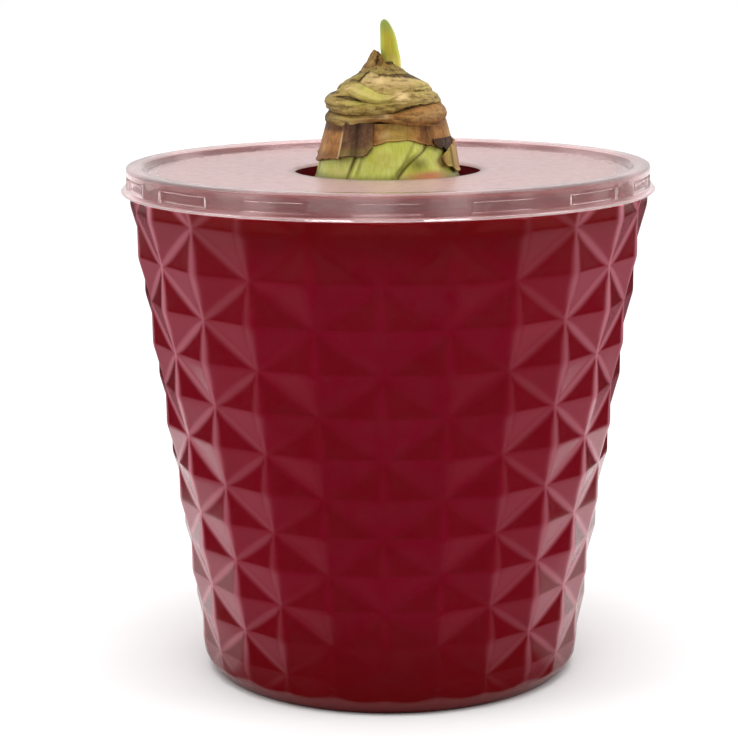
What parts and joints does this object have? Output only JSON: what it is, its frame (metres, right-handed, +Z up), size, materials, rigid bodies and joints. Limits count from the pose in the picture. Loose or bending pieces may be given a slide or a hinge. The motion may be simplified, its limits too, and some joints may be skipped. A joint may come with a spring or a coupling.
{
  "type": "bulb planter",
  "caption": "Tapered plant pot with a star-faceted wall and a clear press-on lid; a flower bulb in growing medium stands up through the lid's hole",
  "frame": {"origin": "on the pot's axis, on the surface that the pot stands on", "axes": "+Z up along the pot's axis; the front faces -Y"},
  "size_m": [0.16, 0.16, 0.1974],
  "materials": {
    "burgundy_plastic": "glossy moulded burgundy",
    "clear_plastic": "clear formed sheet with a faint haze",
    "black_plastic": "thin black formed sheet",
    "coir": "loose dark coir fibre",
    "root_plate": "dry corky plant tissue",
    "brown_tunic": "dry papery bulb skin",
    "tan_tunic": "dry papery bulb skin",
    "olive_tunic": "dry papery bulb skin, partly green",
    "dark_tunic": "dark dry bulb skin",
    "green_scale": "fleshy waxy plant tissue",
    "pale_scale": "fleshy waxy plant tissue",
    "bud": "fleshy plant tissue",
    "shoot_green": "fresh plant tissue"
  },
  "bodies": {
    "pot": {"pot": "burgundy_plastic"},
    "grow_pot": {"grow_pot": "black_plastic", "growing_medium": "coir"},
    "bulb": {"basal_plate": "root_plate", "roots": "root_plate", "tunic": "brown_tunic", "outer_scale": "green_scale", "middle_scale": "pale_scale", "inner_scale": "pale_scale", "flower_stem": "pale_scale", "flower_bud": "bud", "shoot": "shoot_green", "second_leaf": "shoot_green", "tan_strip": "tan_tunic", "dark_tatter": "dark_tunic", "neck_skin": "tan_tunic", "side_flap": "tan_tunic", "cap_hem": "brown_tunic", "cap_crown": "olive_tunic", "cap_fold": "brown_tunic", "neck_peak": "dark_tunic"},
    "lid": {"lid": "clear_plastic"}
  },
  "joints": [
    {"name": "grow_pot_lift", "type": "slide", "parent": "pot", "child": "grow_pot", "axis": [0, 0, 1], "range_m": [0, 0.156]},
    {"name": "bulb_lift", "type": "slide", "parent": "grow_pot", "child": "bulb", "axis": [0, 0, 1], "range_m": [0, 0.09]},
    {"name": "lid_lift", "type": "slide", "parent": "bulb", "child": "lid", "axis": [0, 0, 1], "range_m": [0, 0.055]}
  ]
}
